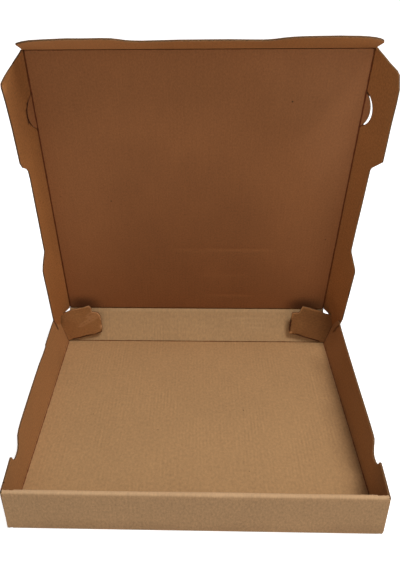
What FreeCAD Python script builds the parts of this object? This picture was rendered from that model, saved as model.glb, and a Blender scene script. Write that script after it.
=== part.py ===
import FreeCAD, Part

import math
import os
import re

import Sketcher

# Twelve inch pizza box, folded from one sheet of fine corrugated board and standing open.
# Frame: +X right, +Y back, +Z up, origin at the middle of the underside of the tray.
# The inner fold lines of the tray lie at half the inner width and depth, one board above the table.
Vector = FreeCAD.Vector
Rotation = FreeCAD.Rotation
Placement = FreeCAD.Placement

# Driving dimensions in millimetres and degrees
SIZES = {
    "board": 1.6,
    "inner_width": 306,
    "inner_depth": 306,
    "wall_height": 39.6,
    "bridge_width": 6.5,
    "fold_gap": 0.3,
    "lid_clearance": 0.4,
    "wall_clearance": 0.5,
    "front_clearance": 1.6,
    "side_inset": 2.4,
    "rear_setback": 3.2,
    "inner_panel_inset": 6,
    "tuck_tab_length": 42,
    "notch_radius": 17.5,
    "notch_depth": 10,
    "notch_from_front": 55.5,
    "side_wall_lean": 17.5,
    "back_wall_lean": 15,
    "lid_opening": 73,
    "half_moon_radius": 26.5,
    "half_moon_reach": 6.4,
    "half_moon_from_hinge": 249.5,
    "half_moon_cut": 1.2,
    "side_flap_width": 36,
    "side_flap_neck": 24,
    "side_flap_rear_width": 33,
    "side_flap_rear_start": 7,
    "side_flap_rear_cut": 8,
    "side_flap_neck_start": 86,
    "side_flap_neck_end": 214,
    "side_flap_step": 14,
    "side_flap_front_cut": 20,
    "side_flap_front_chamfer": 3.2,
    "side_flap_front_end": 10,
    "left_flap_fold": 67,
    "right_flap_fold": 63,
    "front_flap_width": 36,
    "front_flap_recess": 9,
    "front_flap_recess_half": 74,
    "front_flap_recess_slope": 13.5,
    "front_flap_flare": 2.6,
    "front_flap_flare_at": 17.3,
    "front_flap_shoulder": 13,
    "front_flap_shoulder_drop": 3.6,
    "front_flap_shoulder_run": 39,
    "front_flap_fold": 54,
    "corner_flap_length": 48,
    "corner_flap_height": 38,
    "corner_flap_end_step": 6,
    "corner_flap_end_start": 14,
    "corner_flap_end_stop": 27.5,
    "corner_flap_shoulder": 28,
    "corner_flap_shoulder_drop": 3.5,
    "corner_flap_root_drop": 12,
    "corner_flap_fold": 93,
}

doc = FreeCAD.newDocument("PizzaBox")
sheet = doc.addObject("Spreadsheet::Sheet", "Sizes")
for row, (name, size) in enumerate(SIZES.items(), start=1):
    sheet.set("A%d" % row, name)
    sheet.set("B%d" % row, str(size))
    sheet.setAlias("B%d" % row, name)
doc.recompute()
NAMES = {name: "Sizes." + name for name in SIZES}


def value(formula):
    """The number that a formula of the sheet's names gives."""
    return float(sheet.evalExpression(formula))


def bound(formula):
    """The same formula with each of the sheet's names written in full, for use outside the sheet."""
    return re.sub("[a-z_]+", lambda word: NAMES.get(word.group(), word.group()), formula)


def new_body(name):
    body = doc.addObject("PartDesign::Body", name)
    body.Label = name
    return body


def new_sketch(body, role, offset=None):
    """An empty sketch on one of the body's own origin planes, moved along its normal."""
    sketch = body.newObject("Sketcher::SketchObject", "Outline")
    plane = [item for item in body.Origin.OriginFeatures if item.Role == role][0]
    sketch.AttachmentSupport = [(plane, "")]
    sketch.MapMode = "FlatFace"
    if offset:
        sketch.setExpression(".AttachmentOffset.Base.z", bound(offset))
    return sketch


def place_point(sketch, edge, end, corner):
    """Ties one point of an edge to the formulas for its two coordinates."""
    for kind, formula in zip(("DistanceX", "DistanceY"), corner):
        rule = Sketcher.Constraint(kind, -1, 1, edge, end, value(formula))
        index = sketch.addConstraint(rule)
        sketch.setExpression("Constraints[%d]" % index, bound(formula))


def polygon(sketch, corners):
    """A closed outline of straight edges through corners given as pairs of formulas."""
    points = [Vector(value(across), value(along), 0) for across, along in corners]
    count = len(points)
    for i in range(count):
        sketch.addGeometry(Part.LineSegment(points[i], points[(i + 1) % count]))
    for i in range(count):
        sketch.addConstraint(Sketcher.Constraint("Coincident", i, 2, (i + 1) % count, 1))
        place_point(sketch, i, 1, corners[i])


def circle(sketch, centre, radius):
    middle = Vector(value(centre[0]), value(centre[1]), 0)
    sketch.addGeometry(Part.Circle(middle, Vector(0, 0, 1), value(radius)))
    place_point(sketch, 0, 3, centre)
    index = sketch.addConstraint(Sketcher.Constraint("Radius", 0, value(radius)))
    sketch.setExpression("Constraints[%d]" % index, bound(radius))


def pad(body, sketch, length="board"):
    """A plate that lies half to each side of its sketch."""
    feature = body.newObject("PartDesign::Pad", "Plate")
    feature.Profile = sketch
    feature.SideType = "Symmetric"
    feature.setExpression("Length", bound(length))
    return feature


def cut_through(body, sketch):
    feature = body.newObject("PartDesign::Pocket", "Cut")
    feature.Profile = sketch
    feature.SideType = "Symmetric"
    feature.Type = "ThroughAll"
    return feature


def rectangle(low_x, low_y, high_x, high_y):
    return [(low_x, low_y), (high_x, low_y), (high_x, high_y), (low_x, high_y)]


def mirrored(corners, side):
    """The corners as they are on the right, or with their first coordinate turned over on the left."""
    if side > 0:
        return corners
    return [("-( " + across + " )", along) for across, along in corners]


# Tray: floor, rolled-over front wall with its bridge, twisted side walls and their tucked tabs


def make_folded_front():
    """The floor, the outer front panel with its bridge and inner panel, and the two tucked tabs."""
    body = new_body("floor_and_front")
    outer = "-inner_depth / 2 - board"
    inner = "-inner_depth / 2 - board + bridge_width"
    top = "board + wall_height"

    # The floor ends halfway under the side walls and stops short of the back wall's fold
    floor = new_sketch(body, "XY_Plane", "board / 2")
    polygon(floor, rectangle(
        "-( inner_width + board ) / 2", outer,
        "( inner_width + board ) / 2", "inner_depth / 2 - fold_gap"))
    pad(body, floor)

    # The outer front panel and the bridge are one strip, folded at the top
    front = new_sketch(body, "YZ_Plane")
    polygon(front, [
        (outer, "0"), ("-inner_depth / 2", "0"), ("-inner_depth / 2", top + " - board"),
        (inner, top + " - board"), (inner, top), (outer, top)])
    pad(body, front, "inner_width + 2 * board")

    # The inner front panel hangs from the bridge and leaves room for the lid's flaps at its ends
    lining = new_sketch(body, "YZ_Plane")
    polygon(lining, rectangle(inner + " - board", "board + fold_gap", inner, top))
    pad(body, lining, "inner_width - 2 * inner_panel_inset")

    # The side walls' front tabs are tucked between the two layers of the front wall
    for side in (-1, 1):
        tab = new_sketch(body, "XZ_Plane", "inner_depth / 2 - fold_gap - board / 2")
        polygon(tab, mirrored(rectangle(
            "inner_width / 2 - tuck_tab_length", "board + fold_gap",
            "inner_width / 2 + board / 2", top + " - board / 2"), side))
        body.Tip = pad(body, tab)
    return body


# Flat strips that the twist of a side wall is made of
WALL_STRIPS = 6


def wall_end(side, along, lean):
    """Four corners of a side wall's end, which leans outward about the inner fold line."""
    tilt = math.radians(lean)
    board = value("board")
    top = value("wall_height")
    corners = []
    for across, up in ((0, -board / 2), (board, -board / 2), (board, top), (0, top)):
        x = value("inner_width / 2") + across * math.cos(tilt) + up * math.sin(tilt)
        z = board + up * math.cos(tilt) - across * math.sin(tilt)
        corners.append(Vector(side * x, along, z))
    return corners


def make_side_wall(name, side):
    """A side wall that stands upright at the front and leans outward at its free rear end."""
    front = value("-( inner_depth + board ) / 2")
    rear = value("inner_depth / 2 - rear_setback")
    ends = []
    for i in range(WALL_STRIPS + 1):
        share = i / WALL_STRIPS
        ends.append(wall_end(side, front + (rear - front) * share, value("side_wall_lean") * share))
    loops = [ends[0], ends[-1]]
    for near, far in zip(ends, ends[1:]):
        for i, j in ((0, 1), (1, 2), (3, 2), (0, 3)):
            loops += [[near[j], near[i], far[i]], [near[j], far[i], far[j]]]
    faces = [Part.Face(Part.makePolygon(loop + loop[:1])) for loop in loops]
    wall = doc.addObject("Part::Feature", name)
    wall.Shape = Part.makeSolid(Part.makeShell(faces))
    return wall


def make_tray():
    tray = doc.addObject("Part::MultiFuse", "folded_tray")
    tray.Shapes = [
        make_folded_front(), make_side_wall("side_wall_left", -1), make_side_wall("side_wall_right", 1)]

    # Round notches in both side walls take the half-moon tabs of the closed lid
    cutter = doc.addObject("Part::Cylinder", "notch")
    cutter.setExpression("Radius", bound("notch_radius"))
    cutter.setExpression("Height", bound("2 * inner_width"))
    cutter.setExpression(".Placement.Base.x", bound("-inner_width"))
    cutter.setExpression(".Placement.Base.y", bound("notch_from_front - inner_depth / 2"))
    cutter.setExpression(
        ".Placement.Base.z", bound("board + wall_height - notch_depth + notch_radius"))
    cutter.Placement.Rotation = Rotation(Vector(0, 1, 0), 90)
    notched = doc.addObject("Part::Cut", "base_tray")
    notched.Base = tray
    notched.Tool = cutter
    return notched


# Fold lines of the moving panels, in the middle of the board


def back_fold():
    return Vector(0, value("( inner_depth + board ) / 2"), value("board / 2"))


def lid_fold():
    """The hinge line of the lid, at the top of the leaning back wall."""
    lean = math.radians(value("back_wall_lean"))
    height = value(FOLD_HEIGHT)
    return back_fold() + Vector(0, height * math.sin(lean), height * math.cos(lean))


def lid_frame():
    """Local X across the lid, local Y from its hinge to its front edge, local Z to its inner side."""
    return Placement(lid_fold(), Rotation(Vector(1, 0, 0), 180 - value("lid_opening")))


FOLD_HEIGHT = "wall_height + lid_clearance + board"
LID_LENGTH = "inner_depth + 2 * board + front_clearance"
PANEL_HALF = "inner_width / 2 - side_inset - board / 2 - fold_gap"


def make_back_wall():
    body = new_body("back_wall")
    sketch = new_sketch(body, "XY_Plane")
    polygon(sketch, rectangle(
        "side_inset - inner_width / 2", "0",
        "inner_width / 2 - side_inset", FOLD_HEIGHT + " - board / 2 - fold_gap"))
    pad(body, sketch)
    body.Placement = Placement(back_fold(), Rotation(Vector(1, 0, 0), 90 - value("back_wall_lean")))
    return body


def make_lid_panel():
    """The lid's flat panel, with a half-moon tab that stands past each side fold."""
    body = new_body("lid_panel")
    sketch = new_sketch(body, "XY_Plane")
    polygon(sketch, rectangle(
        "-( " + PANEL_HALF + " )", "0",
        PANEL_HALF, LID_LENGTH + " - board / 2 - fold_gap"))
    pad(body, sketch)
    for side in (-1, 1):
        moon = new_sketch(body, "XY_Plane")
        centre = mirrored([(HALF_MOON_CENTRE, "half_moon_from_hinge")], side)[0]
        circle(moon, centre, "half_moon_radius")
        pad(body, moon)
    body.Placement = lid_frame()
    return body


HALF_MOON_CENTRE = "inner_width / 2 - side_inset + half_moon_reach - half_moon_radius"


def make_side_flap(name, side):
    """A side flap of the lid: cut back at both ends, with a narrower neck and a half-moon hole."""
    body = new_body(name)
    sketch = new_sketch(body, "XY_Plane")
    front = LID_LENGTH + " - side_flap_front_end"
    outline = [
        ("0", "side_flap_rear_start"),
        ("side_flap_rear_width / 2", "side_flap_rear_start"),
        ("side_flap_rear_width", "side_flap_rear_start + side_flap_rear_cut"),
        ("side_flap_rear_width", "side_flap_neck_start"),
        ("side_flap_neck", "side_flap_neck_start + side_flap_step"),
        ("side_flap_neck", "side_flap_neck_end - side_flap_step"),
        ("side_flap_width", "side_flap_neck_end"),
        ("side_flap_width", front + " - side_flap_front_cut"),
        ("side_flap_width - side_flap_front_chamfer / 2",
         front + " - side_flap_front_cut + side_flap_front_chamfer"),
        ("0", front),
    ]
    polygon(sketch, mirrored(outline, side))
    pad(body, sketch)
    hole = new_sketch(body, "XY_Plane")
    reach = "half_moon_reach - half_moon_radius + half_moon_cut / 2"
    circle(hole, mirrored([(reach, "half_moon_from_hinge")], side)[0],
           "half_moon_radius + half_moon_cut")
    body.Tip = cut_through(body, hole)
    fold = "right_flap_fold" if side > 0 else "left_flap_fold"
    turn = Rotation(Vector(0, 1, 0), -side * value(fold))
    edge = Vector(side * value("inner_width / 2 - side_inset"), 0, 0)
    body.Placement = lid_frame().multiply(Placement(edge, turn))
    return body


def make_front_flap():
    """The lid's front flap: its ends flare past the side folds and taper to a recessed free edge."""
    body = new_body("lid_front_flap")
    sketch = new_sketch(body, "XY_Plane")
    corner = "inner_width / 2 - side_inset"
    right = [
        (corner, "0"),
        (corner + " + front_flap_flare", "front_flap_flare_at"),
        (corner + " - front_flap_flare",
         "front_flap_width - front_flap_shoulder_drop - front_flap_shoulder / 2"),
        (corner + " - front_flap_shoulder", "front_flap_width - front_flap_shoulder_drop"),
        (corner + " - front_flap_shoulder_run", "front_flap_width"),
        ("front_flap_recess_half", "front_flap_width"),
        ("front_flap_recess_half - front_flap_recess_slope", "front_flap_width - front_flap_recess"),
    ]
    polygon(sketch, right + mirrored(right, -1)[::-1])
    body.Tip = pad(body, sketch)
    fold = Placement(Vector(0, value(LID_LENGTH), 0),
                     Rotation(Vector(1, 0, 0), value("front_flap_fold")))
    body.Placement = lid_frame().multiply(fold)
    return body


def make_corner_flap(name, side):
    """A flap on the rear end of a side wall, folded in front of the back wall, with a stepped end."""
    body = new_body(name)
    sketch = new_sketch(body, "XY_Plane")
    step = "corner_flap_length - corner_flap_end_step"
    top = "corner_flap_height"
    polygon(sketch, [
        ("-board", "2 * fold_gap"),
        (step, "board"),
        ("corner_flap_length", "corner_flap_end_start"),
        ("corner_flap_length", "corner_flap_end_stop"),
        (step, "corner_flap_end_stop + board"),
        (step + " - board", top),
        (step + " - corner_flap_shoulder", top),
        ("2 * board", top + " - corner_flap_shoulder_drop"),
        ("-board", top + " - corner_flap_root_drop"),
    ])
    body.Tip = pad(body, sketch)
    lean = math.radians(value("side_wall_lean"))
    fold = math.radians(value("corner_flap_fold"))
    along = Vector(
        -side * math.cos(lean) * math.sin(fold), math.cos(fold), math.sin(lean) * math.sin(fold))
    up = Vector(side * math.sin(lean), 0, math.cos(lean))
    root = Vector(side * value("inner_width / 2"),
                  value("( inner_depth - board ) / 2 - wall_clearance"), value("board"))
    body.Placement = Placement(root, Rotation(along, up, along.cross(up), "XYZ"))
    return body


def checked(item):
    """Stops where an object has failed or its shape isn't one sound solid."""
    states = [state for state in item.State if state in ("Invalid", "Error")]
    if states:
        raise RuntimeError("%s is %s" % (item.Name, states[0]))
    return item


parts = [
    make_tray(),
    make_back_wall(),
    make_lid_panel(),
    make_front_flap(),
    make_side_flap("lid_side_flap_left", -1),
    make_side_flap("lid_side_flap_right", 1),
    make_corner_flap("rear_corner_flap_left", -1),
    make_corner_flap("rear_corner_flap_right", 1),
]
doc.recompute()
for item in doc.Objects:
    checked(item)

os.makedirs("parts", exist_ok=True)
for part in parts:
    shape = part.Shape
    if shape.isNull() or not shape.isValid() or len(shape.Solids) != 1:
        raise RuntimeError(part.Label + " isn't one valid solid")
    shape.exportStep("parts/" + part.Label + ".step")
    print(part.Label, round(shape.Volume), [round(size, 2) for size in (
        shape.BoundBox.XMin, shape.BoundBox.XMax, shape.BoundBox.YMin,
        shape.BoundBox.YMax, shape.BoundBox.ZMin, shape.BoundBox.ZMax)])
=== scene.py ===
import math

import bpy
from mathutils import Matrix, Vector, noise
from mathutils.geometry import delaunay_2d_cdt


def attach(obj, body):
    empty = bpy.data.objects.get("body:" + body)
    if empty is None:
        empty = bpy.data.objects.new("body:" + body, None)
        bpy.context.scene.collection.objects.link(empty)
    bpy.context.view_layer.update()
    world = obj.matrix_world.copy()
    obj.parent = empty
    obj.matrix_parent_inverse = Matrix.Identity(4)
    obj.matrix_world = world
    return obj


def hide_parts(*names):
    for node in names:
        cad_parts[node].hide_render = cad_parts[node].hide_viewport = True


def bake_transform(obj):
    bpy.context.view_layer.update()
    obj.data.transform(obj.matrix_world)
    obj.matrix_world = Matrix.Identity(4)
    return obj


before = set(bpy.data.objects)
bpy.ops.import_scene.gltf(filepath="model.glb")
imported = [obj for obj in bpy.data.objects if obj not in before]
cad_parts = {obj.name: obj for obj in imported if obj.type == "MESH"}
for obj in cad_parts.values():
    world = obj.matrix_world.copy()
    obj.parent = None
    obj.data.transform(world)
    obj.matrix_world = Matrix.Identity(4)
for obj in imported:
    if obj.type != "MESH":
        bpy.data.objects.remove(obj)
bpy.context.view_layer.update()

# Sizes of the box in millimetres and degrees. HALF is half of the tray's inner width and
# depth, FOLD_GAP what a moving panel stays away from its fold line, and FRONT_SLOPE how far
# the front wall leans forward for each millimetre of height.
MM = 0.001
BOARD = 1.6
HALF_BOARD = BOARD / 2
HALF = 153.0
WALL = 39.6
WALL_TOP = BOARD + WALL
BACK_WALL = 41.6
SIDE_LEAN = 17.5
BACK_LEAN = 15.0
FRONT_LEAN = 2.0
FRONT_SLOPE = 0.035
LID_OPEN = 73.0
LID_LENGTH = 310.8
FLAP_FOLD_X = 150.6
FOLD_GAP = 0.85
FLUTE = 3.39


def smooth(low, high, x):
    """0 up to low, 1 from high on, and a soft step between them. Low may be the larger one."""
    t = min(1.0, max(0.0, (x - low) / (high - low)))
    return t * t * (3 - 2 * t)


# Fold lines and frames of the moving panels, in the middle of the board
BACK_FOLD = Vector((0, HALF + HALF_BOARD, HALF_BOARD))
WALL_UP = Vector((0, math.sin(math.radians(BACK_LEAN)), math.cos(math.radians(BACK_LEAN))))
WALL_IN = Vector((0, -WALL_UP.z, WALL_UP.y))
LID_FOLD = BACK_FOLD + WALL_UP * BACK_WALL
LID_UP = Vector((0, -math.cos(math.radians(LID_OPEN)), math.sin(math.radians(LID_OPEN))))
LID_IN = Vector((0, -LID_UP.z, LID_UP.y))
FRONT_FLAP_FOLD = LID_FOLD + LID_UP * LID_LENGTH


class Path:
    """The middle line of a bent board in a plane: straight runs and arcs, followed by length."""

    def __init__(self, start, heading):
        self.at = Vector(start)
        self.heading = math.radians(heading)
        self.runs = []
        self.length = 0.0

    def line(self, length):
        self.runs.append((self.length, length, self.at.copy(), self.heading, 0.0))
        self.at += Vector((math.cos(self.heading), math.sin(self.heading))) * length
        self.length += length
        return self

    def arc(self, radius, degrees):
        turn = math.radians(degrees)
        length = radius * abs(turn)
        self.runs.append((self.length, length, self.at.copy(), self.heading, turn))
        chord = 2 * radius * math.sin(abs(turn) / 2)
        mean = self.heading + turn / 2
        self.at += Vector((math.cos(mean), math.sin(mean))) * chord
        self.heading += turn
        self.length += length
        return self

    def point(self, along, out):
        """The place at a length along the line, moved out to the left of the heading."""
        run = self.runs[0]
        for candidate in self.runs:
            if along >= candidate[0]:
                run = candidate
        begin, length, at, heading, turn = run
        part = along - begin
        if turn:
            bend = turn * part / length
            radius = length / abs(turn)
            chord = 2 * radius * math.sin(abs(bend) / 2) * (1 if bend * turn >= 0 else -1)
            mean = heading + bend / 2
            at = at + Vector((math.cos(mean), math.sin(mean))) * chord
            heading += bend
        else:
            at = at + Vector((math.cos(heading), math.sin(heading))) * part
        return at + Vector((-math.sin(heading), math.cos(heading))) * out


# Materials

def new_material(name, roughness, specular):
    material = bpy.data.materials.new(name)
    material.use_nodes = True
    shader = material.node_tree.nodes["Principled BSDF"]
    shader.inputs["Roughness"].default_value = roughness
    shader.inputs["Specular IOR Level"].default_value = specular
    return material, material.node_tree, shader


class Graph:
    """Short calls for building a node tree."""

    def __init__(self, tree):
        self.tree = tree

    def node(self, kind, **settings):
        node = self.tree.nodes.new(kind)
        for name, setting in settings.items():
            setattr(node, name, setting)
        return node

    def feed(self, socket, source):
        if isinstance(source, bpy.types.NodeSocket):
            self.tree.links.new(source, socket)
        else:
            socket.default_value = source

    def math(self, operation, *values):
        node = self.node("ShaderNodeMath", operation=operation)
        for socket, source in zip(node.inputs, values):
            self.feed(socket, source)
        return node.outputs[0]

    def span(self, source, low, high, to_low, to_high):
        node = self.node("ShaderNodeMapRange", clamp=True)
        for socket, setting in zip(node.inputs, (source, low, high, to_low, to_high)):
            self.feed(socket, setting)
        return node.outputs[0]

    def noise(self, where, scale, detail=3.0, stretch=(1, 1, 1), roughness=0.5):
        mapping = self.node("ShaderNodeMapping")
        mapping.inputs["Scale"].default_value = stretch
        self.feed(mapping.inputs["Vector"], where)
        node = self.node("ShaderNodeTexNoise")
        node.inputs["Scale"].default_value = scale
        node.inputs["Detail"].default_value = detail
        node.inputs["Roughness"].default_value = roughness
        self.feed(node.inputs["Vector"], mapping.outputs[0])
        return node.outputs["Fac"]

    def mix(self, factor, first, second, blend="MIX"):
        node = self.node("ShaderNodeMix", data_type="RGBA", blend_type=blend)
        self.feed(node.inputs[0], factor)
        self.feed(node.inputs[6], first)
        self.feed(node.inputs[7], second)
        return node.outputs[2]

    def attribute(self, name):
        return self.node("ShaderNodeAttribute", attribute_name=name).outputs["Fac"]


def srgb(red, green, blue):
    """A colour given as it shows on a screen, from 0 to 255."""
    def linear(level):
        level /= 255
        return level / 12.92 if level < 0.04045 else ((level + 0.055) / 1.055) ** 2.4
    return (linear(red), linear(green), linear(blue), 1.0)


def liner_material(name, tone, flute_show=0.08, grain_show=1.0, grain_scale=430.0):
    """Uncoated kraft liner: fibres, cloudy tone, flute lines that show through, and a few specks.

    The meshes carry two values: "fold" is the way to the nearest crease in millimetres,
    along which a painted shade of the crease's groove is drawn, and "shade" is how much darker
    (below 0) or paler (above 0) the liner is there: painted shade, painted shadows and
    painted highlights, with some random change of tone."""
    material, tree, shader = new_material(name, 0.82, 0.2)
    graph = Graph(tree)
    sheet = graph.node("ShaderNodeUVMap", uv_map="sheet").outputs[0]
    split = graph.node("ShaderNodeSeparateXYZ")
    graph.feed(split.inputs[0], sheet)
    clouds = graph.noise(sheet, 16.0, 5.0, (1, 0.7, 1), 0.6)
    fibres = graph.noise(sheet, grain_scale, 4.0, (1, 0.6, 1), 0.7)
    threads = graph.noise(sheet, 300.0, 3.0, (1, 0.12, 1), 0.6)
    grain = graph.noise(sheet, 2600.0, 2.0, (1, 1, 1), 0.7)
    turns = graph.math("MULTIPLY", split.outputs[0], 2 * math.pi / (FLUTE * MM))
    wander = graph.math("MULTIPLY", graph.noise(sheet, 40.0, 3.0, (1, 0.5, 1)), 3.0)
    flutes = graph.math("SINE", graph.math("ADD", turns, wander))
    patch = graph.span(graph.noise(sheet, 26.0, 4.0, (1, 0.6, 1)), 0.42, 0.68, 0.0, 1.0)
    flute_part = graph.math("MULTIPLY", graph.math("MULTIPLY", flutes, patch), flute_show)
    tone_part = graph.math("ADD", graph.span(clouds, 0.3, 0.7, -0.09, 0.09), flute_part)
    for part, low, high, depth in ((fibres, 0.25, 0.75, 0.34 * grain_show),
                                   (threads, 0.3, 0.7, 0.08), (grain, 0.25, 0.75, 0.14)):
        tone_part = graph.math("ADD", tone_part, graph.span(part, low, high, -depth, depth))
    light = srgb(*[min(255, level * 1.1) for level in tone])
    dark = srgb(*[level * 0.9 for level in tone])
    colour = graph.mix(graph.span(tone_part, -0.5, 0.5, 0.0, 1.0), dark, light)
    shade = graph.math("ADD", graph.attribute("shade"), graph.span(clouds, 0.3, 0.7, -0.04, 0.04))
    # Painted shade where the shade value is below zero, and a painted highlight, mixed towards a
    # paler tone, where it is above zero
    colour = graph.mix(graph.span(shade, -1.0, -0.05, 1.0, 0.0), colour,
                       graph.mix(1.0, colour, srgb(120, 100, 86), "MULTIPLY"))
    colour = graph.mix(graph.span(shade, 0.05, 1.0, 0.0, 0.7), colour,
                       srgb(*[min(255, level * 1.12 + 46) for level in tone]))
    # Painted shade of each crease's groove: a darker line near the fold, which also dents the bump
    fold = graph.math("ADD", graph.attribute("fold"), graph.span(grain, 0.3, 0.7, -0.12, 0.12))
    fold = graph.math("ADD", fold, graph.span(graph.noise(sheet, 140.0, 2.0), 0.3, 0.7, -0.2, 0.2))
    crease_and_painted_shade = graph.span(fold, 0.15, 0.85, 0.9, 0.0)
    colour = graph.mix(crease_and_painted_shade, colour, graph.mix(1.0, colour, srgb(156, 104, 76), "MULTIPLY"))
    cells = graph.node("ShaderNodeTexVoronoi", feature="F1")
    cells.inputs["Scale"].default_value = 58.0
    cells.inputs["Randomness"].default_value = 1.0
    graph.feed(cells.inputs["Vector"], sheet)
    colours = graph.node("ShaderNodeSeparateColor")
    graph.feed(colours.inputs[0], cells.outputs["Color"])
    chosen = graph.math("GREATER_THAN", colours.outputs[0], 0.87)
    size = graph.span(colours.outputs[1], 0.0, 1.0, 0.022, 0.062)
    near = graph.math("LESS_THAN", cells.outputs["Distance"], size)
    speck = graph.math("MULTIPLY", graph.math("MULTIPLY", chosen, near), 0.8)
    colour = graph.mix(speck, colour, srgb(*[level * 0.42 for level in tone]))
    graph.feed(shader.inputs["Base Color"], colour)
    height = graph.math("ADD", graph.math("MULTIPLY", flute_part, 0.8),
                        graph.math("MULTIPLY", fibres, 0.4))
    height = graph.math("ADD", height, graph.math("MULTIPLY", clouds, 0.6))
    height = graph.math("SUBTRACT", height, graph.math("MULTIPLY", crease_and_painted_shade, 0.9))
    bump = graph.node("ShaderNodeBump")
    bump.inputs["Strength"].default_value = 0.4
    bump.inputs["Distance"].default_value = 0.0002
    graph.feed(bump.inputs["Height"], height)
    graph.feed(shader.inputs["Normal"], bump.outputs[0])
    graph.feed(shader.inputs["Roughness"], graph.span(fibres, 0.25, 0.75, 0.78, 0.9))
    return material


def edge_material(name, light, dark):
    """A cut edge: two pale liners with the wave of the fluting between them."""
    material, tree, shader = new_material(name, 0.9, 0.15)
    graph = Graph(tree)
    sheet = graph.node("ShaderNodeUVMap", uv_map="sheet").outputs[0]
    split = graph.node("ShaderNodeSeparateXYZ")
    graph.feed(split.inputs[0], sheet)
    turns = graph.math("MULTIPLY", split.outputs[0], 2 * math.pi / (FLUTE * MM))
    wave = graph.math("MULTIPLY", graph.math("SINE", turns), 0.42 * MM)
    away = graph.math("ABSOLUTE", graph.math("SUBTRACT", split.outputs[1], wave))
    medium = graph.span(away, 0.1 * MM, 0.26 * MM, 1.0, 0.0)
    depth = graph.math("ABSOLUTE", split.outputs[1])
    liners = graph.span(depth, 0.5 * MM, 0.6 * MM, 0.0, 1.0)
    paper = graph.math("MAXIMUM", medium, liners)
    wear_and_highlight = graph.span(graph.noise(sheet, 260.0, 3.0), 0.35, 0.65, 0.0, 0.55)
    colour = graph.mix(graph.math("MAXIMUM", paper, wear_and_highlight), dark, light)
    graph.feed(shader.inputs["Base Color"], colour)
    bump = graph.node("ShaderNodeBump")
    bump.inputs["Strength"].default_value = 0.6
    bump.inputs["Distance"].default_value = 0.0004
    graph.feed(bump.inputs["Height"], paper)
    graph.feed(shader.inputs["Normal"], bump.outputs[0])
    return material


INSIDE = liner_material("liner_inside", (176, 137, 94), 0.13, 1.3)
# Copies of the one inside liner: the back wall's is painted lighter as painted light, and the
# lid's, flaps', side walls' and corner flaps' are painted darker and redder as painted shade
INSIDE_BACK_PAINTED_LIGHTER = liner_material("liner_inside_back_painted_lighter", (189, 153, 110), 0.08, 1.1)
INSIDE_LID_PAINTED_SHADE = liner_material("liner_inside_lid_painted_shade", (157, 102, 61), 0.07, 1.7, 760.0)
INSIDE_FLAP_PAINTED_SHADE = liner_material("liner_inside_flap_painted_shade", (167, 110, 61), 0.06, 2.2, 760.0)
INSIDE_WALL_PAINTED_SHADE = liner_material("liner_inside_wall_painted_shade", (165, 116, 71), 0.06, 1.9, 700.0)
INSIDE_CORNER_PAINTED_SHADE = liner_material("liner_inside_corner_painted_shade", (158, 109, 64), 0.06, 1.8, 600.0)
OUTSIDE = liner_material("liner_outside", (174, 137, 98), 0.06, 1.8, 600.0)
EDGE = edge_material("board_edge", srgb(138, 100, 64), srgb(66, 42, 25))


# Meshes

def resample(outline, step):
    """The outline with points added so that no side is longer than the step."""
    points = []
    for (u, v), (next_u, next_v) in zip(outline, outline[1:] + outline[:1]):
        count = max(1, math.ceil(math.hypot(next_u - u, next_v - v) / step))
        points += [(u + (next_u - u) * i / count, v + (next_v - v) * i / count)
                   for i in range(count)]
    return points


def inside(point, outline):
    """Whether a place lies within a closed outline."""
    u, v = point
    found = False
    for (u0, v0), (u1, v1) in zip(outline, outline[1:] + outline[:1]):
        if (v0 > v) != (v1 > v) and u < (u1 - u0) * (v - v0) / (v1 - v0) + u0:
            found = not found
    return found


def spread(low, high, step, extra):
    """Evenly spaced values between two ends, with some extra ones."""
    count = max(1, math.ceil((high - low) / step))
    values = [low + (high - low) * i / count for i in range(1, count)]
    near = step * 0.2
    values = [value for value in values if all(abs(value - other) > near for other in extra)]
    return sorted(values + [value for value in extra if low < value < high])


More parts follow.
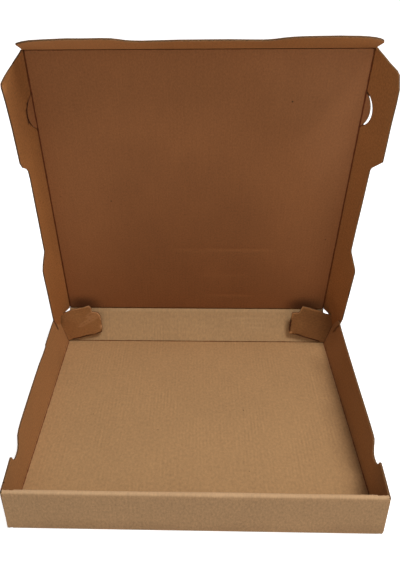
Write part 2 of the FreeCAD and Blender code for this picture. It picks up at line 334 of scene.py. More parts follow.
def board(name, outline, place, step=6.0, lines_u=(), lines_v=(), fold=None, shade=None,
          face=INSIDE, back=OUTSIDE, cut=EDGE, half=HALF_BOARD, shift=(0.0, 0.0),
          turned=False, edge_step=None, through=0.15):
    """A panel of the sheet: an outline in millimetres, bent into place by place(u, v, w).

    fold(u, v) is the way to the nearest crease, and shade(u, v) how dark or pale it is there.
    The face is the side of the board where w is above zero. The mesh has points along
    lines_u and lines_v. Shift moves the liner's pattern. A turned panel is one whose flutes
    run along u. Through is how much of the face's shade the back shows."""
    border = resample(outline, edge_step or step)
    low_u, high_u = min(p[0] for p in border), max(p[0] for p in border)
    low_v, high_v = min(p[1] for p in border), max(p[1] for p in border)
    grid = [(u, v) for u in spread(low_u, high_u, step, lines_u)
            for v in spread(low_v, high_v, step, lines_v)]
    clear = min(step, edge_step or step) * 0.3
    cells = {}
    for p in border:
        cells.setdefault((int(p[0] // step), int(p[1] // step)), []).append(p)

    def far_from_border(p):
        i, j = int(p[0] // step), int(p[1] // step)
        close = [q for a in (-1, 0, 1) for b in (-1, 0, 1) for q in cells.get((i + a, j + b), [])]
        return all(math.hypot(p[0] - q[0], p[1] - q[1]) > clear for q in close)

    grid = [p for p in grid if inside(p, outline) and far_from_border(p)]
    count = len(border)
    made = delaunay_2d_cdt([Vector(p) for p in border + grid],
                           [(i, (i + 1) % count) for i in range(count)], [], 0, 1e-5)
    flat, triangles = made[0], made[2]
    kept = []
    for triangle in triangles:
        a, b, c = (flat[i] for i in triangle)
        area = (b - a).cross(c - a)
        if abs(area) > 1e-7 and inside((a + b + c) / 3, outline):
            kept.append(tuple(triangle) if area > 0 else tuple(triangle)[::-1])
    used = {pair for triangle in kept for pair in zip(triangle, triangle[1:] + triangle[:1])}
    rim = [(i, j) for i, j in used if (j, i) not in used]

    total = len(flat)
    vertices = [place(p.x, p.y, half) * MM for p in flat]
    vertices += [place(p.x, p.y, -half) * MM for p in flat]
    faces = list(kept)
    faces += [tuple(i + total for i in triangle[::-1]) for triangle in kept]
    first_back, first_rim = len(kept), len(faces)
    faces += [(j, i, i + total, j + total) for i, j in sorted(rim)]
    middle = flat[kept[len(kept) // 2][0]]
    across = place(middle.x + 0.1, middle.y, 0) - place(middle.x, middle.y, 0)
    along = place(middle.x, middle.y + 0.1, 0) - place(middle.x, middle.y, 0)
    out = place(middle.x, middle.y, 0.1) - place(middle.x, middle.y, 0)
    if across.cross(along).dot(out) < 0:
        faces = [face_points[::-1] for face_points in faces]

    mesh = bpy.data.meshes.new(name)
    mesh.from_pydata(vertices, [], faces)
    layer = mesh.uv_layers.new(name="sheet")
    coordinates = []
    for number, points in enumerate(faces):
        for i in points:
            u, v = flat[i % total]
            if number < first_rim:
                flat_u, flat_v = (v, u) if turned else (u, v)
                coordinates += [(flat_u + shift[0]) * MM, (flat_v + shift[1]) * MM]
            else:
                coordinates += [(u + shift[0]) * MM, (half if i < total else -half) * MM]
    layer.uv.foreach_set("vector", coordinates)
    for key, measure, default, shows in (("fold", fold, 9.0, 1.0), ("shade", shade, 0.0, through)):
        values = [measure(p.x, p.y) if measure else default for p in flat]
        values += [value * shows for value in values]
        mesh.attributes.new(key, "FLOAT", "POINT").data.foreach_set("value", values)
    for material in (face, back, cut):
        mesh.materials.append(material)
    for polygon in mesh.polygons:
        polygon.use_smooth = True
        polygon.material_index = (polygon.index >= first_back) + (polygon.index >= first_rim)
    mesh.set_sharp_from_angle(angle=math.radians(50))
    mesh.validate()
    item = bpy.data.objects.new(name, mesh)
    bpy.context.scene.collection.objects.link(item)
    return item


def line_distance(points, u, v):
    """The way from a place to the nearest point of a row of straight lines."""
    best = 99.0
    for (u0, v0), (u1, v1) in zip(points, points[1:]):
        du, dv = u1 - u0, v1 - v0
        share = min(1.0, max(0.0, ((u - u0) * du + (v - v0) * dv) / (du * du + dv * dv)))
        best = min(best, math.hypot(u0 + du * share - u, v0 + dv * share - v))
    return best


def ripple(u, v, size, seed):
    """A soft unevenness of the sheet, about from -1 to 1."""
    return noise.noise(Vector((u / size, v / size, seed)))


# Tray floor
FLOOR_FRONT = -150
FLOOR_EDGE = HALF - 0.2


def place_floor(u, v, w):
    return Vector((u, v, HALF_BOARD + w))


def floor_fold(u, v):
    return min(FLOOR_EDGE - abs(u), FLOOR_EDGE - v, v + HALF - 4)


def floor_shade(u, v):
    """Painted shadow of the right wall along it, and painted shade by the rear corners."""
    right = -0.3 * smooth(HALF - 32, HALF - 6, u + 5 * ripple(u, v, 40, 2.2))
    corner = -0.12 * (1 - smooth(4, 20, math.hypot(HALF - abs(u), HALF - v)))
    return right * smooth(HALF, HALF - 60, v) + corner


floor_outline = [(-HALF, FLOOR_FRONT), (HALF, FLOOR_FRONT), (HALF, FLOOR_EDGE),
                 (-HALF, FLOOR_EDGE)]
floor = board("tray_floor", floor_outline, place_floor, step=6.0, lines_u=(-151.2, 151.2),
              lines_v=(-146.5, 151.2), fold=floor_fold, shade=floor_shade)
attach(floor, "base_tray")
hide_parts("base_tray")

# Front wall: outer panel, bridge and inner panel are one strip, bent over the top
FRONT_BEND = 1.2
BRIDGE = 5.2
LINING_TURN = 86
FRONT_PATH = Path((FLOOR_FRONT, HALF_BOARD), 180)
FRONT_PATH.line(HALF + HALF_BOARD + FLOOR_FRONT - FRONT_BEND).arc(FRONT_BEND, FRONT_LEAN - 90)
FRONT_FOOT = FRONT_PATH.length
FRONT_PATH.line(WALL_TOP - 2 * FRONT_BEND - BOARD + 0.1).arc(FRONT_BEND, -90 - FRONT_LEAN)
FRONT_TOP = FRONT_PATH.length
FRONT_PATH.line(BRIDGE - BOARD - 2 * FRONT_BEND).arc(FRONT_BEND, -LINING_TURN)
FRONT_LINING = FRONT_PATH.length
FRONT_PATH.line(WALL_TOP - HALF_BOARD - FRONT_BEND - BOARD - 0.8)


def place_front(u, v, w):
    bow = 0.35 * ripple(u, v, 90, 3.1) * smooth(0, 12, v - FRONT_FOOT) * (v < FRONT_LINING)
    spot = FRONT_PATH.point(v, -w + bow)
    return Vector((u, spot.x, spot.y))


def front_fold(u, v):
    return min(0.8 + abs(v - FRONT_FOOT), 0.5 + abs(v - FRONT_LINING))


def front_shade(u, v):
    """A painted highlight along the top fold, a little rubbed on the front, and darker towards the
    foot.
    """
    fold_highlight = 0.5 * (1 - smooth(1.2, 3.2, abs(v - FRONT_TOP - 0.9)))
    return fold_highlight + 0.1 * ripple(u, v, 60, 4.4) - 0.12 * smooth(16, 3, v - FRONT_FOOT)


SKIRT = HALF + BOARD
LINING_HALF = HALF - 6
front_outline = [
    (-HALF, 0), (HALF, 0), (HALF, 2.0), (SKIRT - 2.2, 2.4), (SKIRT - 0.7, 3.8), (SKIRT, 6.5),
    (SKIRT + 0.1, FRONT_TOP - 4), (SKIRT - 0.2, FRONT_TOP - 1.2), (SKIRT - 0.9, FRONT_TOP),
    (SKIRT - 1.2, FRONT_LINING - 0.2), (LINING_HALF, FRONT_LINING + 0.6),
    (LINING_HALF, FRONT_PATH.length), (-LINING_HALF, FRONT_PATH.length),
    (-LINING_HALF, FRONT_LINING + 0.6), (-SKIRT + 0.8, FRONT_LINING - 0.2),
    (-SKIRT + 0.1, FRONT_TOP - 1.5), (-SKIRT, 4.4), (-SKIRT + 0.4, 3.2), (-HALF, 2.2)]
front_lines = [at - back_step for at in (FRONT_FOOT, FRONT_TOP, FRONT_LINING)
               for back_step in (1.9, 1.3, 0.6, 0.0)]
front = board("front_wall", front_outline, place_front, step=5.0, lines_v=front_lines,
              fold=front_fold, shade=front_shade, shift=(0, 200), edge_step=1.0, through=1.0)
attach(front, "base_tray")


# Side walls: upright at the front, leaning outward at the free rear end
SIDE_LEANS = {-1: (12.4, -23.3, 27.1, 1.4), 1: (15.5, -23.7, 24.8, 0.5)}
# For each side wall, how much paler (above 0) at the rear and how much darker at the front it is
# painted: painted light and painted shade
SIDE_PAINTED_SHADING = {-1: (-0.05, 0.1), 1: (0.2, 0.38)}
SIDE_BEND = 1.2
SIDE_REAR = 149.8


def wall_lean(side, y):
    """The lean in degrees, a cubic curve from the front end to the rear end."""
    share = (y + HALF) / (2 * HALF)
    a, b, c, d = SIDE_LEANS[side]
    return ((a * share + b) * share + c) * share + d


def place_side(side):
    def place(u, v, w):
        lean = math.radians(wall_lean(side, u))
        reach = HALF_BOARD - w
        angle = lean
        if v < 0:
            angle = lean + (math.pi / 2 - lean) * min(1.0, -v / SIDE_BEND)
        x = HALF + reach * math.cos(angle)
        z = BOARD - reach * math.sin(angle)
        if v > 0:
            x += v * math.sin(lean)
            z += v * math.cos(lean)
            x += 0.3 * ripple(u, v, 70, side * 5.3) * smooth(3, 20, v) * smooth(-153, -120, u)
        forward = -FRONT_SLOPE * max(v, 0) * (1 - smooth(-HALF, -HALF + 10, u))
        return Vector((side * x, u + forward, z))
    return place


def side_fold(side):
    def fold(u, v):
        second = abs(v - 2.6) + (0.3 if side < 0 else 0.5)
        return min(abs(v - 0.1), second, abs(u - 150.2) + 0.2)
    return fold


def side_shade(side):
    def shade(u, v):
        # Painted highlight on the ridge between the left wall's two score lines, painted light and
        # shade towards the ends, and the painted shadow of the lid's side flap where its tip passes
        # inside the wall
        strip = 0.2 * (1 - smooth(0.2, 1.1, abs(v - 1.4))) * (side < 0)
        at_rear, at_front = SIDE_PAINTED_SHADING[side]
        painted_shading = at_rear * smooth(30, 120, u) - at_front * smooth(-90, -150, u)
        if side < 0:
            edge = abs(u - 133 - 0.02 * (40 - v)) + 4 * (1 - smooth(24, 30, v))
        else:
            edge = abs(u - 128.1 - 0.65 * (39.6 - v)) + 4 * (1 - smooth(20, 27, v))
        painted_flap_shadow = smooth(1.2, 3.4, edge) - 1
        return painted_flap_shadow + strip + painted_shading + 0.08 * ripple(u, v, 45, side * 3.3)
    return shade


WALL_TOPS = {
    -1: [(120, 39.8), (78, 39.6), (75.5, 38.3), (60, 38.4), (40, 39.4), (-30, 39.6),
         (-62, 39.8), (-72, 39.4), (-79.5, 38), (-82.6, 35), (-85.4, 32), (-89.3, 29.9),
         (-95, 29.2), (-101.9, 30), (-106.4, 31.8), (-109, 34.2), (-110.6, 37.6), (-111.6, 39.2),
         (-113, 39.6)],
    1: [(120, 38.9), (70, 39.5), (13, 39.3), (-43, 39.7), (-62, 40), (-75.4, 40), (-80.3, 39.6),
        (-83.2, 37.4), (-85, 34.6), (-87.4, 32), (-90.6, 30), (-94.4, 29.3), (-101, 30),
        (-106.4, 32.2), (-109.2, 34.8), (-111, 37.9), (-112, 39.4), (-113.4, 39.7)],
}
TUCKED_TAB = [(0, 2.2), (42, 4), (42, 34), (38, 38.2), (0, 38.6)]
SIDES = ((-1, "left"), (1, "right"))
for side, name in SIDES:
    front_y = -HALF - HALF_BOARD
    outline = [(front_y, -SIDE_BEND), (153.4, -SIDE_BEND), (153.4, 1.5), (SIDE_REAR, 1.7),
               (SIDE_REAR, WALL - 1.5), (147.8, WALL - 0.2)]
    outline += WALL_TOPS[side] + [(front_y, WALL - 0.2)]
    wall = board("side_wall_" + name, outline, place_side(side), step=4.0,
                 lines_v=(-0.9, -0.6, -0.3, 0.0, 0.6, 1.5, 2.8, 3.6), fold=side_fold(side),
                 shade=side_shade(side), shift=(side * 153, 0), turned=True, edge_step=2.0,
                 face=INSIDE_WALL_PAINTED_SHADE)
    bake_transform(wall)

    # The front tab of the side wall, tucked into the front wall
    def place_tab(u, v, w, side=side):
        return Vector((side * (HALF + HALF_BOARD - u), -152.3 - FRONT_SLOPE * v + w, v))
    tab = board("tucked_tab_" + name, TUCKED_TAB, place_tab, step=8.0)
    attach(tab, "base_tray")


# Rear corner flaps: folded in front of the back wall from the rear end of each side wall
CORNER_FOLD = 90.0
CORNER_PATH = Path((HALF_BOARD, SIDE_REAR), 90)
CORNER_PATH.line(0.8).arc(1.1, CORNER_FOLD)
CORNER_START = CORNER_PATH.length
CORNER_PATH.line(60)
CORNER_OUTLINES = {
    "left": [(-1.9, 1), (-1.9, 28.6), (-0.4, 31), (1.6, 33.4), (4.2, 35.6), (7, 36.9), (11, 37.9),
             (15, 38.6), (20, 39.6), (27, 38.9), (33.6, 38.4), (37, 38.8), (40.8, 38.9), (42, 36),
             (41.9, 33.4), (41, 31.4), (41.6, 30.2), (44.6, 29), (47.3, 27.4), (48.2, 25),
             (48.5, 22.2), (47.8, 18), (46.6, 14), (45.4, 9), (44.2, 4.7), (42.9, 2), (41, 0.9),
             (34, 0.3), (24, 1.1), (14.8, 0.7), (6, 1.2)],
    "right": [(-1.9, 1), (-1.9, 27), (0.6, 32.2), (3.7, 36.4), (5, 38), (7, 38.6), (10.4, 37.8),
              (13.2, 37.6), (16.6, 38.4), (21.1, 39.6), (30, 39.4), (36, 39.6), (42.3, 39.4),
              (42.9, 36), (42.7, 31.8), (43.7, 30.2), (46.6, 29.4), (50, 28), (50.3, 26),
              (49.7, 23.7), (49.2, 19), (48.3, 14), (46, 6), (43.9, 1), (42.2, 0.2), (40, 1.4),
              (35.1, 2), (26, 1.2), (16, 0.9), (6.8, 0.4)],
}


def left_creases(u, v):
    """How far a place on the left flap is from each of its two creases."""
    first = abs(v - 0.34 * u - 9 - 1.2 * ripple(u, v, 9, 1.1))
    second = abs(v - 0.2 * u - 19 - 1.5 * ripple(u, v, 11, 2.1))
    return first + 5 * (1 - smooth(12, 24, u)), second + 5 * (1 - smooth(26, 36, u))


def place_corner(side):
    lean = math.radians(SIDE_LEAN)
    across = Vector((side * math.cos(lean), 0, -math.sin(lean)))
    up = Vector((side * math.sin(lean), 0, math.cos(lean)))
    root = Vector((side * HALF, 0, BOARD))

    def place(u, v, w):
        cup = 0.0
        if u > 0:
            v = v - min(0.026 * u, 0.8 * v)
            cup = 0.5 * math.sin(math.pi * min(1, u / 48)) * smooth(0, 14, u)
            cup += 0.7 * ripple(u, v, 17, side * 2.7) * smooth(1, 10, u)
            if side < 0:
                first, second = left_creases(u, v)
                cup += 0.3 * (1 - smooth(0, 3.4, first)) + 0.25 * (1 - smooth(0, 3.0, second))
                cup -= 1.5 * smooth(40, 49, u) * (1 - smooth(4, 20, v))
                cup += 0.8 * smooth(38, 44, u) * smooth(30, 39, v)
            else:
                cup += 0.5 * (1 - smooth(0, 2.6, abs(u - 9 - 0.2 * v))) * smooth(20, 34, v)
                cup += 0.7 * (1 - smooth(0, 4, math.hypot(u - 43, v - 4)))
        spot = CORNER_PATH.point(u + CORNER_START, -w + cup)
        return root + across * spot.x + Vector((0, spot.y, 0)) + up * v
    return place


def corner_fold(side):
    def fold(u, v):
        bend = abs(u + 0.9)
        if side > 0:
            return min(bend, abs(u - 9 - 0.2 * v) + 0.55 + 5 * (1 - smooth(20, 34, v)))
        first, second = left_creases(u, v)
        return min(bend, first + 0.4, second + 0.45)
    return fold


# For each side, the edge along which a pale highlight is painted and the edge along which a dark
# shadow is painted
CORNER_LIT_AND_SHADOWED_EDGES = {
    -1: ([(47.8, 18), (48.5, 22.2), (47.3, 27.4), (41.6, 30.2), (42, 36), (40.8, 38.9),
          (33.6, 38.4), (20, 39.6)],
         [(45.4, 7), (42.9, 2), (34, 0.3), (24, 1.1), (14.8, 0.7), (6, 1.2)]),
    1: ([(20, 39.6), (30, 39.4), (36, 39.6), (42.3, 39.4), (42.9, 36), (43.7, 30.2), (50, 28)],
        [(49.2, 19), (46, 6), (42.2, 0.2), (35.1, 2), (26, 1.2), (16, 0.9), (6.8, 0.4)]),
}


def corner_shade(side):
    """A painted highlight along the flap's lit edge and a painted shadow along its lower edge."""
    def shade(u, v):
        lit_edge, shadowed_edge = (line_distance(points, u, v) for points in CORNER_LIT_AND_SHADOWED_EDGES[side])
        ends = 0.9 * (1 - smooth(0.5, 1.7, lit_edge)) - 1.3 * (1 - smooth(0.4, 1.7, shadowed_edge))
        return ends + middle_shade(u, v)

    def middle_shade(u, v):
        # Left flap: painted highlights on the lit lower free end, the upper end and beside the
        # creases, and painted shade near the fold high up
        if side < 0:
            wear_and_highlight = 1.6 * smooth(42.5, 45, u) * (1 - smooth(7, 12, v))
            wear_and_highlight += 0.5 * smooth(36, 41, u) * smooth(34, 38, v)
            lines = min(left_creases(u, v))
            wear_and_highlight += 0.3 * (1 - smooth(0.3, 2.2, abs(lines - 1.6)))
            return wear_and_highlight + 0.12 * ripple(u, v, 14, 7.7) - 0.4 * smooth(6, 0, u) * smooth(14, 30, v)
        # Right flap: painted highlights at the lower corner and on the free end, over painted shade
        # on the whole flap
        wear_and_highlight = 2.0 * (1 - smooth(1, 3.0, math.hypot(u - 43.4, v - 2.6)))
        wear_and_highlight += 0.3 * smooth(46, 50, u) * smooth(16, 26, v)
        return wear_and_highlight + 0.12 * ripple(u, v, 14, 7.7) - 0.34
    return shade


for side, name in SIDES:
    node = "rear_corner_flap_" + name
    flap = board("corner_flap_" + name, CORNER_OUTLINES[name], place_corner(side), step=1.3,
                 lines_u=(-1.6, -1.2, -0.8, -0.4, 0), fold=corner_fold(side),
                 shade=corner_shade(side), shift=(side * 153, 150), turned=True,
                 face=OUTSIDE, back=INSIDE_CORNER_PAINTED_SHADE, through=1.0)
    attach(flap, node)
    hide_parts(node)


# Back wall
BACK_TOP = 40.75
BACK_WRINKLES = (16.5, 22.0, 28.0)


def back_wrinkle(u, v):
    near = min(abs(v - at - 0.015 * u - 1.2 * ripple(u, v, 24, at)) for at in BACK_WRINKLES)
    return (1 - smooth(0, 2.0, near)) * smooth(-14, 6, u) * (1 - smooth(70, 100, u))


def place_back(u, v, w):
    soft = 0.5 * ripple(u, v, 60, 8.8) * smooth(0, 12, v) * smooth(BACK_WALL, 30, v)
    soft -= 0.2 * back_wrinkle(u, v)
    return BACK_FOLD + Vector((u, 0, 0)) + WALL_UP * v + WALL_IN * (w + soft)


def back_fold(u, v):
    return min(v - 0.5, 41.0 - v + 0.2)


def back_shade(u, v):
    """A painted highlight under the lid's fold, painted shade beside the corner flaps, and paler
    along the wrinkles.
    """
    fold_highlight = 0.35 * (1 - smooth(0.6, 2.4, abs(v - 39.4)))
    return fold_highlight - 0.15 * smooth(95, 122, abs(u)) * (1 - fold_highlight) + 0.2 * back_wrinkle(u, v)


back_outline = [(-FLAP_FOLD_X, 0.9), (FLAP_FOLD_X, 0.9), (FLAP_FOLD_X, BACK_TOP),
                (-FLAP_FOLD_X, BACK_TOP)]
back = board("back_wall_panel", back_outline, place_back, step=3.0, fold=back_fold,
             shade=back_shade, shift=(0, 153), face=INSIDE_BACK_PAINTED_LIGHTER)
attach(back, "back_wall")
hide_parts("back_wall")


# Lid, with a half-moon tab at each side that lies in the cut of the side flap. The shapes
# of the tabs and the cuts are middle, reach to each side and rise.
TAB_FOLD = 150.3
LID_EDGE = 149.75
TAB_SHAPE = {-1: (253.0, 17.5, 9.4), 1: (253.8, 17.2, 7.3)}
TAB_ANGLE = {-1: 56.0, 1: 45.0}
HOLE_SHAPE = {-1: (253.0, 17.7, 9.7), 1: (255.2, 16.8, 12.0)}
LID_WRINKLES = ((88, -19, 76, 1.0), (53, 10, 60, 0.8), (21, 20, 60, 0.8))


def half_moon(shape, base):
    """An arc from its rear end to its front end, as height over the base line and place along."""
    middle, reach, rise = shape
    radius = (reach * reach + rise * rise) / (2 * rise)
    sweep = math.asin(min(1.0, reach / radius))
    if rise > reach:
        sweep = math.pi - sweep
    steps = 16
    angles = [sweep * (2 * i / steps - 1) for i in range(steps + 1)]
    return [(base + rise - radius * (1 - math.cos(angle)), middle + radius * math.sin(angle))
            for angle in angles]


def arc_distance(shape, u, v):
    """How far a place is from the arc of a half-moon."""
    middle, reach, rise = shape
    radius = (reach * reach + rise * rise) / (2 * rise)
    return abs(math.hypot(u - (rise - radius), v - middle) - radius)


def lid_wrinkle(u, v):
    total = 0.0
    for at, left, right, depth in LID_WRINKLES:
        near = abs(v - at - 0.012 * u - 1.8 * ripple(u, v, 34, at))
        total += (depth * (1 - smooth(0, 2.6, near)) * smooth(left - 15, left + 5, u)
                  * (1 - smooth(right - 8, right + 14, u)))
    return total


def place_lid(u, v, w):
    soft = 0.45 * ripple(u, v, 110, 1.7) * smooth(0, 30, v) * smooth(309, 280, v)
    soft *= smooth(150, 120, abs(u))
    soft -= 0.45 * lid_wrinkle(u, v)
    side = 1 if u > 0 else -1
    past = abs(u) - TAB_FOLD
    if past > 0:
        angle = math.radians(TAB_ANGLE[side])
        forward = Vector((side * math.cos(angle), 0, 0)) + LID_IN * math.sin(angle)
        inward = LID_IN * math.cos(angle) - Vector((side * math.sin(angle), 0, 0))
        return LID_FOLD + Vector((side * TAB_FOLD, 0, 0)) + forward * past + LID_UP * v + inward * w
    return LID_FOLD + Vector((u, 0, 0)) + LID_UP * v + LID_IN * (w + soft)


def lid_fold(u, v):
    ends = min(v - 0.5, LID_LENGTH - FOLD_GAP - v + 0.5)
    return min(abs(abs(u) - TAB_FOLD) - 0.6, ends)


def lid_shade(u, v):
    """Painted shade low down, painted shadows of the corner flaps, and painted light at the upper
    right.
    """
    low = -0.2 * (1 - smooth(120, 290, v)) * (1 - smooth(60, 150, abs(u)))
    low -= 0.02 * (1 - smooth(20, 120, v))
    across = (abs(u) - (134 if u < 0 else 125)) * 0.62
    painted_flap_shadow = 1 - smooth(2, 17, math.hypot(across, (v - 5) * 0.9))
    high = 0.2 * smooth(0, 150, u) * smooth(60, 240, v)
    return low + high - 0.62 * painted_flap_shadow + 0.2 * lid_wrinkle(u, v)


lid_outline = [(-LID_EDGE, FOLD_GAP), (LID_EDGE, FOLD_GAP)] + half_moon(TAB_SHAPE[1], TAB_FOLD)
lid_outline += [(LID_EDGE, LID_LENGTH - FOLD_GAP), (-LID_EDGE, LID_LENGTH - FOLD_GAP)]
lid_outline += [(-u, v) for u, v in half_moon(TAB_SHAPE[-1], TAB_FOLD)[::-1]]
lid = board("lid_board", lid_outline, place_lid, step=3.4,
            lines_u=(-TAB_FOLD, -148.6, -149.4, 149.4, 148.6, TAB_FOLD),
            lines_v=(2.2, LID_LENGTH - 2.3), fold=lid_fold, shade=lid_shade,
            shift=(0, 200), edge_step=2.0, face=INSIDE_LID_PAINTED_SHADE)
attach(lid, "lid_panel")
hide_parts("lid_panel")


# Side flaps of the lid
FLAP_OUTLINES = {
    -1: [(0.7, 0.2), (12.4, 0.6), (20.1, 2.2), (22.8, -5.6), (27.4, -8.6), (30.5, -8.8), (32.8, 1),
         (34.5, 10.3), (35.1, 80), (34.6, 85), (31.8, 91.9), (24.2, 103.6), (23.3, 192.8),
         (23.8, 202.6), (26, 206.6), (31.8, 211.4), (34.7, 217.5), (35.4, 255.2), (36.8, 277.8),
         (38.6, 293.6), (38.1, 297.2), (31.1, 300), (16.7, 303.7), (2.7, 310), (0.7, 310.2)],
    1: [(0.7, 0.2), (3.4, 1.2), (11.5, 0.6), (17, -3), (20.2, -10.8), (24.6, -15), (26.4, -14),
        (30, -3), (31.8, 3.8), (33.4, 11.1), (35.4, 83.8), (34.3, 87.7), (23.7, 103), (23, 106),
        (24.1, 193), (24.2, 203.3), (25.4, 206.4), (37.7, 219.6), (37.1, 254.5), (37.4, 276.1),
        (36.9, 288.8), (33.1, 300), (29.5, 302.4), (18.8, 304.9), (1.6, 310.8), (0.7, 311)],
}
FLAP_ANGLE = {-1: 66.0, 1: 60.0}
FLAP_BEND = {-1: 6.0, 1: 1.5}
FLAP_STEP = 0.5
FLAP_STEPS = 80


def flap_angle(side, u):
    """The flap's angle to the lid in degrees, which grows a little away from the fold."""
    return FLAP_ANGLE[side] + FLAP_BEND[side] * (2 * smooth(6, 26, u) - 1)


def place_flap(side):
    sheet_out = Vector((side, 0, 0))
    samples = [Vector((0.0, 0.0))]
    for i in range(FLAP_STEPS):
        angle = math.radians(flap_angle(side, i * FLAP_STEP + FLAP_STEP / 2))
        samples.append(samples[-1] + Vector((math.cos(angle), math.sin(angle))) * FLAP_STEP)

    def place(u, v, w):
        share = min(max(u, 0.0), FLAP_STEP * (FLAP_STEPS - 1)) / FLAP_STEP
        i = int(share)
        spot = samples[i].lerp(samples[i + 1], share - i)
        angle = math.radians(flap_angle(side, u))
        normal = Vector((-math.sin(angle), math.cos(angle)))
        spot = spot + normal * (w + 0.3 * ripple(u, v, 45, side * 9.1) * smooth(4, 14, u))
        root = LID_FOLD + sheet_out * FLAP_FOLD_X
        return root + LID_UP * v + sheet_out * spot.x + LID_IN * spot.y
    return place


def flap_fold(side):
    def fold(u, v):
        # On the left flap the dark crease line along the half-moon cut is widened, as painted
        # shadow of the gap
        cut = 0.1 + (0.7 * (1 - smooth(5, 13, abs(v - 255))) if side < 0 else 0.0)
        return min(abs(u - 0.4) - 0.2, arc_distance(HOLE_SHAPE[side], u, v) - cut)
    return fold


def flap_shade(side):
    def shade(u, v):
        # A painted shadow in the half-moon cut of the left flap
        cut = 1 - smooth(0.4, 1.6, arc_distance(HOLE_SHAPE[side], u, v))
        cut *= 1 - smooth(8, 14, abs(v - 255))
        return open_shade(u, v) - 1.2 * cut * (side < 0)

    def open_shade(u, v):
        # Left flap: painted light on the outer band, painted shade high up and over the middle, and
        # a painted highlight at the tip; right flap: random tone, darker towards the lower end
        if side < 0:
            outer = 0.1 * smooth(9, 20, u - 3 * ripple(u, v, 50, 4.1)) * smooth(20, 170, v)
            outer -= 0.22 * smooth(190, 260, v) * smooth(6, 24, u)
            tip = 0.5 * (1 - smooth(2, 9, math.hypot(u - 38.6, v - 292)))
            return outer + tip - (0.16 + 0.04 * (1 - smooth(2, 14, u))) * smooth(50, 120, v)
        return 0.08 * ripple(u, v, 40, 6.6) - 0.2 * smooth(50, 0, v)
    return shade


for side, name in SIDES:
    node = "lid_side_flap_" + name
    outline = FLAP_OUTLINES[side] + half_moon(HOLE_SHAPE[side], 0.0)[::-1]
    outline = [(max(u, FOLD_GAP), v) for u, v in outline]
    flap = board("lid_flap_" + name, outline, place_flap(side), step=3.0,
                 lines_u=(1.6, 2.6), fold=flap_fold(side), shade=flap_shade(side),
                 shift=(side * 151, 200), edge_step=1.6, face=INSIDE_FLAP_PAINTED_SHADE)
    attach(flap, node)
    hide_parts(node)


# Front flap of the lid
FRONT_TURN = math.radians(54.0)
FRONT_FORWARD = LID_UP * math.cos(FRONT_TURN) + LID_IN * math.sin(FRONT_TURN)
FRONT_INWARD = LID_IN * math.cos(FRONT_TURN) - LID_UP * math.sin(FRONT_TURN)
FRONT_FLAP_OUTLINE = [
    (-151.1, FOLD_GAP), (150.8, FOLD_GAP), (151.3, 8), (152, 15), (152.4, 20), (151.4, 23.4),
    (147.6, 28.8), (142.4, 33.4), (135.6, 36.8), (128.2, 38.9), (112.7, 40), (92.9, 38.5),
    (84, 37.4), (77.1, 36), (70, 33.2), (63.6, 29.4), (58, 27.2), (53.6, 26.5), (26.6, 28),
    (1.8, 27.6), (-15.7, 27.8), (-46.1, 25.2), (-54, 26), (-59.5, 27.8), (-65, 31.6),
    (-70.1, 34.4), (-78, 35.6), (-93.8, 35.6), (-106, 36.3), (-111.3, 35.8), (-126, 33.4),
    (-138.2, 30.1), (-145.3, 25.5), (-152, 19), (-151.2, 8)]


def place_front_flap(u, v, w):
    soft = 0.35 * ripple(u, v, 50, 6.2) * smooth(2, 14, v)
    return FRONT_FLAP_FOLD + Vector((u, 0, 0)) + FRONT_FORWARD * v + FRONT_INWARD * (w + soft)


def front_flap_fold(u, v):
    return v - 0.2


def front_flap_shade(u, v):
    # Random tone, with painted light towards the left end and painted shade towards the right
    return 0.1 * ripple(u, v, 50, 5.5) + 0.24 - 0.34 * smooth(-120, 60, u)


front_flap = board("lid_flap_front", FRONT_FLAP_OUTLINE, place_front_flap, step=3.0,
                   fold=front_flap_fold, shade=front_flap_shade,
                   shift=(0, 512), edge_step=1.8, face=INSIDE_FLAP_PAINTED_SHADE)
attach(front_flap, "lid_front_flap")
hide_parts("lid_front_flap")


# Outer liner that runs round each moving fold, just outside the panels' own faces
STRIP_RADIUS = HALF_BOARD + 0.14
STRIP_REACH = 3.0
STRIP_HALF = 0.1


def fold_strip(name, point, line, out_a, out_b, away_a, away_b, low, high):
    """A thin strip round a fold line, from one panel's outer face to the other's.

    The line runs through the point. For each panel, out points off its outer face and
    away from the fold along the panel. Low and high are the strip's ends along the line."""
    radius, reach = STRIP_RADIUS, STRIP_REACH
    turn = out_a.angle(out_b)
    axis = out_a.cross(out_b)
    axis = axis.normalized() if axis.length > 1e-6 else line
    arc = max(turn * radius, 0.2)

    def place(u, v, w):
        if v < 0:
            spot = out_a * (radius + w) - away_a * v
        elif v > arc:
            spot = out_b * (radius + w) + away_b * (v - arc)
        else:
            spot = Matrix.Rotation(turn * v / arc, 3, axis) @ out_a * (radius + w)
        return point + line * u + spot
    lines = [arc * i / 6 for i in range(7)]
    outline = [(low, -reach), (high, -reach), (high, arc + reach), (low, arc + reach)]
    strip = board(name, outline, place, step=2.0, lines_v=lines, half=STRIP_HALF,
                  edge_step=1.0, face=OUTSIDE, back=INSIDE_FLAP_PAINTED_SHADE, cut=OUTSIDE)
    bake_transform(strip)


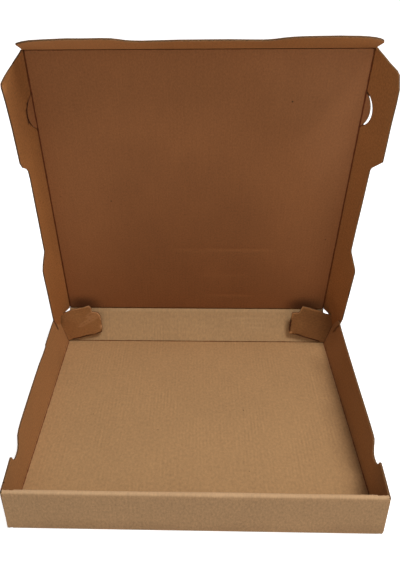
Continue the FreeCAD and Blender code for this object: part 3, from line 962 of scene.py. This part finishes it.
LINE_X = Vector((1, 0, 0))
FLOOR_OUT = Vector((0, 0, -1))
fold_strip("fold_back_wall", BACK_FOLD, LINE_X, FLOOR_OUT, -WALL_IN,
           Vector((0, -1, 0)), WALL_UP, -153.3, 153.3)
fold_strip("fold_lid", LID_FOLD, LINE_X, -WALL_IN, -LID_IN,
           -WALL_UP, LID_UP, -FLAP_FOLD_X, FLAP_FOLD_X)
fold_strip("fold_front_flap", FRONT_FLAP_FOLD, LINE_X, -LID_IN,
           -FRONT_INWARD, -LID_UP, FRONT_FORWARD, -151.4, 151.4)
for side, name in SIDES:
    angle = math.radians(flap_angle(side, 0))
    outward = Vector((side, 0, 0))
    flap_away = outward * math.cos(angle) + LID_IN * math.sin(angle)
    flap_out = outward * math.sin(angle) - LID_IN * math.cos(angle)
    root = LID_FOLD + outward * FLAP_FOLD_X
    middle, reach = HOLE_SHAPE[side][:2]
    parts = ((0.3, middle - reach + 4.5), (middle + reach - 4.5, 310.4))
    for number, (low, high) in enumerate(parts, 1):
        fold_strip("fold_flap_%s_%d" % (name, number),
                   root, LID_UP, -LID_IN, flap_out, -outward, flap_away, low, high)


# Studio: pale floor and soft light
def add_stage(half_size, drop):
    """A white floor with a plain glow towards the camera, fainter near the box."""
    mesh = bpy.data.meshes.new("studio_floor")
    corners = ((-1, -1), (1, -1), (1, 1), (-1, 1))
    mesh.from_pydata([(x * half_size, y * half_size, -drop) for x, y in corners], [],
                     [(0, 1, 2, 3)])
    item = bpy.data.objects.new("studio_floor", mesh)
    bpy.context.scene.collection.objects.link(item)
    material, tree, shader = new_material("studio_floor", 0.9, 0.0)
    graph = Graph(tree)
    shader.inputs["Base Color"].default_value = (0.82, 0.82, 0.82, 1)
    rays = graph.node("ShaderNodeLightPath")
    seen = graph.math("MAXIMUM", rays.outputs["Is Camera Ray"], rays.outputs["Is Glossy Ray"])
    glow = graph.node("ShaderNodeEmission")
    place = graph.node("ShaderNodeTexCoord").outputs["Object"]
    away = graph.node("ShaderNodeVectorMath", operation="LENGTH")
    graph.feed(away.inputs[0], place)
    level = graph.span(away.outputs["Value"], 0.28, 0.8, 0.8, 1.0)
    graph.feed(glow.inputs["Strength"], graph.math("MULTIPLY", seen, level))
    total = graph.node("ShaderNodeAddShader")
    graph.feed(total.inputs[0], shader.outputs[0])
    graph.feed(total.inputs[1], glow.outputs[0])
    graph.feed(tree.nodes["Material Output"].inputs["Surface"], total.outputs[0])
    mesh.materials.append(material)


def add_world(strength):
    """An even white sky at the strength given, which the camera sees as plain white."""
    world = bpy.data.worlds.new("studio")
    bpy.context.scene.world = world
    world.use_nodes = True
    graph = Graph(world.node_tree)
    rays = graph.node("ShaderNodeLightPath")
    seen = graph.math("MAXIMUM", rays.outputs["Is Camera Ray"], rays.outputs["Is Glossy Ray"])
    level = graph.span(seen, 0.0, 1.0, strength, 1.0)
    graph.feed(world.node_tree.nodes["Background"].inputs["Strength"], level)
    world.node_tree.nodes["Background"].inputs["Color"].default_value = (1, 1, 1, 1)


def add_lamp(name, place, aim, size, power):
    data = bpy.data.lights.new(name, "AREA")
    data.shape = "DISK"
    data.size = size
    data.energy = power
    lamp = bpy.data.objects.new(name, data)
    lamp.location = place
    lamp.rotation_euler = (Vector(aim) - Vector(place)).to_track_quat("-Z", "Y").to_euler()
    bpy.context.scene.collection.objects.link(lamp)


add_stage(30.0, 0.0002)
add_world(0.25)
add_lamp("key", (0.6, -0.55, 1.58), (0, 0, 0.05), 0.62, 20)
add_lamp("front_fill", (-0.3, -1.9, 1.3), (0, 0, 0.1), 1.2, 4)

# Camera at the photograph's viewpoint
YAW, PITCH, ROLL = 0.03744, 0.5452, 0.01098
WIDTH_PX, HEIGHT_PX = 400, 570
FOCAL_PX, CENTRE_X, CENTRE_Y = 689.057, 174.098, 350.940
CAMERA_PLACE = Vector((0.00076, -0.56314, 0.42227))
level_x = Vector((math.cos(YAW), math.sin(YAW), 0))
level_y = Vector((-math.sin(YAW), math.cos(YAW), 0))
forward = level_y * math.cos(PITCH) - Vector((0, 0, math.sin(PITCH)))
upward = level_y * math.sin(PITCH) + Vector((0, 0, math.cos(PITCH)))
right = level_x * math.cos(ROLL) - upward * math.sin(ROLL)
above = level_x * math.sin(ROLL) + upward * math.cos(ROLL)
data = bpy.data.cameras.new("camera")
data.lens = FOCAL_PX / HEIGHT_PX * data.sensor_width
data.shift_x = (WIDTH_PX / 2 - CENTRE_X) / HEIGHT_PX
data.shift_y = (CENTRE_Y - HEIGHT_PX / 2) / HEIGHT_PX
data.clip_end = 100
camera = bpy.data.objects.new("camera", data)
turn = Matrix((right, above, -forward)).transposed().to_4x4()
camera.matrix_world = Matrix.Translation(CAMERA_PLACE) @ turn
bpy.context.scene.collection.objects.link(camera)
bpy.context.scene.camera = camera
bpy.context.scene.view_settings.view_transform = "Standard"
